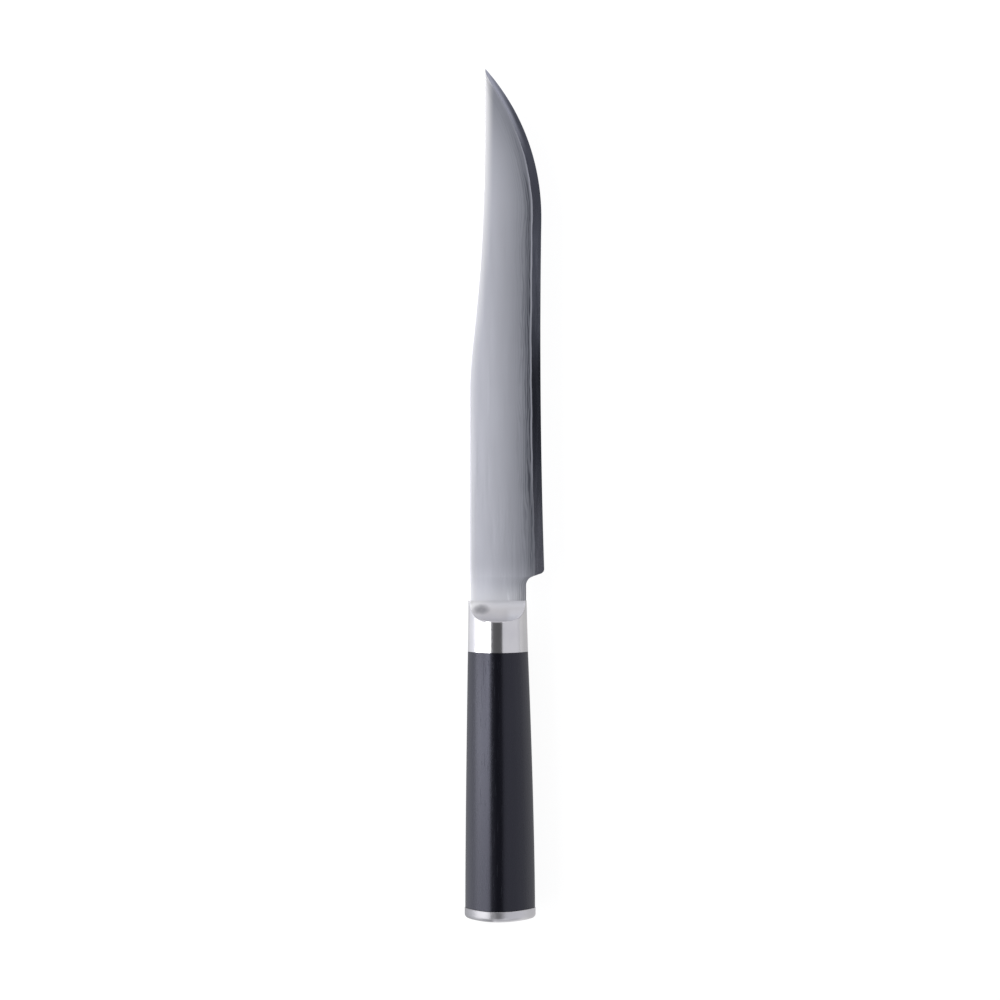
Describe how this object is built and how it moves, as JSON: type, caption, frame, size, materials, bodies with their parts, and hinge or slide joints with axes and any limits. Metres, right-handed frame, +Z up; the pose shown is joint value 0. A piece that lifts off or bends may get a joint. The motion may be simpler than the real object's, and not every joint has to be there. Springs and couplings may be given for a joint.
{
  "type": "carving knife",
  "caption": "Long slender carving knife with a layered blade, bare core steel along the edge, scooped bolster, ridged dark wood grip and flat end cap.",
  "frame": {"origin": "under the middle of the knife's box, on the surface that it lies on", "axes": "+Y from the butt towards the tip, +X towards the cutting edge, +Z up, out of the right-hand face"},
  "size_m": [0.0304, 0.3242, 0.02],
  "materials": {
    "core_steel": "bright ground, darker than the cladding",
    "layered_steel": "fine satin along the blade, faint layer lines beside the edge",
    "polished_steel": "polished",
    "plain_steel": "as rolled",
    "weld_steel": "weld bead",
    "bedding": "set resin",
    "dark_wood": "resin-laminated, smooth satin"
  },
  "bodies": {
    "root": {"blade_core": "core_steel", "cladding_right": "layered_steel", "cladding_left": "layered_steel", "bolster": "polished_steel", "tang_bar": "plain_steel", "tang_weld": "weld_steel", "tang_bedding": "bedding", "handle": "dark_wood", "end_cap": "polished_steel", "cap_weld": "weld_steel"}
  },
  "joints": []
}
